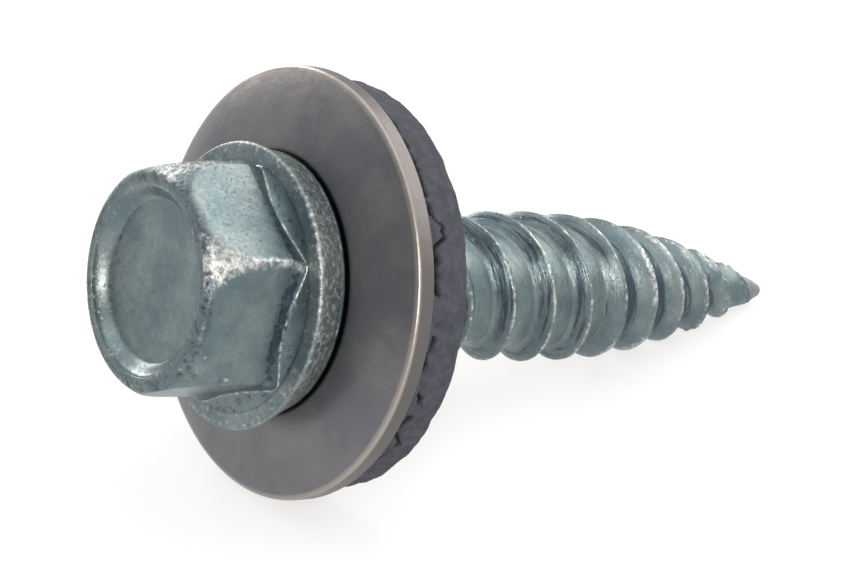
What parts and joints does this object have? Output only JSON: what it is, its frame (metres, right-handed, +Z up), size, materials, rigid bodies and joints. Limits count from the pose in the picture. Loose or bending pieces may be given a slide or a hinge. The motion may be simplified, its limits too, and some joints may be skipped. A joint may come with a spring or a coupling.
{
  "type": "self drilling screw",
  "caption": "Hexagon washer head tapping screw with a steep coarse thread and sharp point, carrying a loose dished steel washer backed by a rubber sealing ring.",
  "frame": {"origin": "bottom centre of the bounding box, on the floor the screw lies on", "axes": "+X along the screw towards its point, seen from above; +Z up; the screw's own axis runs down towards the point by the angle at which it rests"},
  "size_m": [0.0334, 0.016, 0.0157],
  "materials": {
    "zinc_plated_steel": "bright zinc plating, cold-headed and rolled",
    "washer_steel": "satin pressed sheet steel",
    "seal_rubber": "matte moulded rubber"
  },
  "bodies": {
    "screw": {"screw": "zinc_plated_steel"},
    "washer": {"steel_washer": "washer_steel", "seal_ring": "seal_rubber"}
  },
  "joints": [
    {"name": "washer_spin", "type": "hinge", "parent": "screw", "child": "washer", "pos_m": [-0.0107, 0, 0.00815], "axis": [0.9619, 0, -0.2733], "continuous": true}
  ]
}
